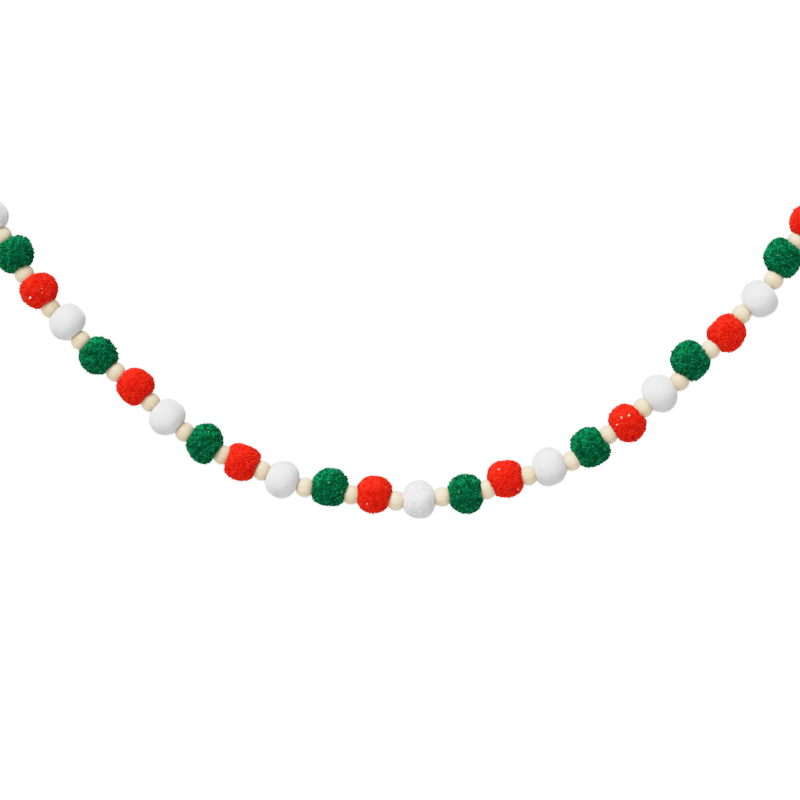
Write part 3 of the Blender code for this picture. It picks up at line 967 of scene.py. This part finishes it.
# Smoothest and roughest place of each material
PILE_ROUGH = (0.85, 1.0)
WOOD_ROUGH = (0.44, 0.60)
STRING_ROUGH = (0.80, 0.98)

# How fine the grain is each way: the wood's across the bore, both ways, and then along it,
# and the string's along a ply, round it and into it
WOOD_STRETCH = (1, 1, 0.09)
STRING_STRETCH = (0.8, 14, 0)


def pile_material(name, look):
    """Pile of one colour: lighter and darker fibres, painted shade toward the roots (painted light on
    white pile), light flecks.
    """
    nodes = Nodes(name)
    tuft = nodes.attribute("tuft")
    parts = nodes.tree.nodes.new("ShaderNodeSeparateColor")
    nodes.join(tuft.outputs["Color"], parts.inputs["Color"])
    colour = nodes.ramp(parts.outputs["Red"], ((0.1, look.dark), (0.5, look.base), (0.9, look.light)))
    # Painted shade toward the fibres' roots; on white pile, painted light there
    painted_root_shading = nodes.mix("RGBA", 1.0, colour, look.root, "MULTIPLY")
    colour = nodes.mix("RGBA", parts.outputs["Blue"], painted_root_shading, colour)
    colour = nodes.mix("RGBA", tuft.outputs["Alpha"], colour, look.fleck)
    place = nodes.tree.nodes.new("ShaderNodeTexCoord").outputs["Object"]
    fine = nodes.noise(place, scale=5200.0, detail=1.0)
    nodes.bump(fine, strength=0.2, distance=0.00006)
    rough = nodes.mix("FLOAT", parts.outputs["Green"], *PILE_ROUGH)
    return nodes.finish(colour, rough, look.specular, look.sheen)


def wood_material():
    """Pale turned wood: fine fibres and faint year rings along the bore, a few pores."""
    nodes = Nodes("bead_wood")
    grain = nodes.attribute("grain")
    stretch = nodes.tree.nodes.new("ShaderNodeVectorMath")
    stretch.operation = "MULTIPLY"
    stretch.inputs[1].default_value = WOOD_STRETCH
    nodes.join(grain.outputs["Vector"], stretch.inputs[0])
    along = stretch.outputs[0]
    rings = nodes.noise(along, scale=0.55, detail=3.0, roughness=0.6)
    fibres = nodes.noise(along, scale=5.0, detail=3.0, roughness=0.7)
    pores = nodes.noise(along, scale=3.4, detail=1.0)
    colour = nodes.ramp(rings, ((0.35, WOOD_DARK), (0.5, WOOD_BASE), (0.68, WOOD_LIGHT)))
    lines = nodes.ramp(fibres, WOOD_LINES)
    colour = nodes.mix("RGBA", LINES_SHARE, colour, lines, "MULTIPLY")
    tone = nodes.ramp(grain.outputs["Alpha"], BEAD_TONES)
    colour = nodes.mix("RGBA", 1.0, colour, tone, "MULTIPLY")
    dots = nodes.ramp(pores, WOOD_PORES)
    colour = nodes.mix("RGBA", PORES_SHARE, colour, dots, "MULTIPLY")
    nodes.bump(fibres, strength=0.35, distance=0.00005)
    return nodes.finish(colour, nodes.mix("FLOAT", fibres, *WOOD_ROUGH), specular=0.40)


def string_material():
    """Natural cotton: fine fibres along each ply, and painted shade, darker in the grooves where two
    plies meet.
    """
    nodes = Nodes("string")
    lay = nodes.attribute("lay")
    parts = nodes.tree.nodes.new("ShaderNodeSeparateColor")
    nodes.join(lay.outputs["Color"], parts.inputs["Color"])
    stretch = nodes.tree.nodes.new("ShaderNodeVectorMath")
    stretch.operation = "MULTIPLY"
    stretch.inputs[1].default_value = STRING_STRETCH
    nodes.join(lay.outputs["Vector"], stretch.inputs[0])
    fibres = nodes.noise(stretch.outputs[0], scale=1.0, detail=3.0, roughness=0.65)
    colour = nodes.ramp(fibres, ((0.25, STRING_DARK), (0.5, STRING_BASE), (0.75, STRING_LIGHT)))
    # Painted shade in the grooves between the plies
    depth = nodes.ramp(parts.outputs["Blue"], PLY_GROOVE_SHADE)
    colour = nodes.mix("RGBA", 1.0, colour, depth, "MULTIPLY")
    nodes.bump(fibres, strength=0.5, distance=0.00006)
    rough = nodes.mix("FLOAT", fibres, *STRING_ROUGH)
    return nodes.finish(colour, rough, specular=0.2, sheen=0.15)


def make_garland():
    """Every piece in its place along the string."""
    centres, beads = thread()
    materials = {colour: pile_material(f"pile_{colour}", look) for colour, look in PILE_LOOKS.items()}
    ball = ball_points(CORE_LEVELS)
    stops = [(LEFT_KNOT, KNOT_REACH)] + [(bead[0], BEAD_RADIUS) for bead in beads]
    stops.append((RIGHT_KNOT, KNOT_REACH))
    for number, centre in enumerate(centres, start=1):
        sides = stops[number - 1:number + 1]
        neighbours = [(middle - centre, size + SEAT_CLEARANCE) for middle, size in sides]
        make_pompom(number, centre, neighbours, ball, materials[POMPOMS[number - 1][0]])
    wood = wood_material()
    for number, (middle, axis) in enumerate(beads, start=1):
        make_bead(number, middle, axis, wood)
    cotton = string_material()
    left_way, right_way = unit(LEFT_KNOT - centres[0]), unit(RIGHT_KNOT - centres[-1])
    loops = [
        make_loop("left", LEFT_KNOT, left_way, cotton),
        make_loop("right", RIGHT_KNOT, right_way, cotton),
    ]
    make_string(centres, beads, left_way, right_way, cotton)


make_camera()
make_tones()
make_floor()
make_room()
make_lamp()
make_garland()
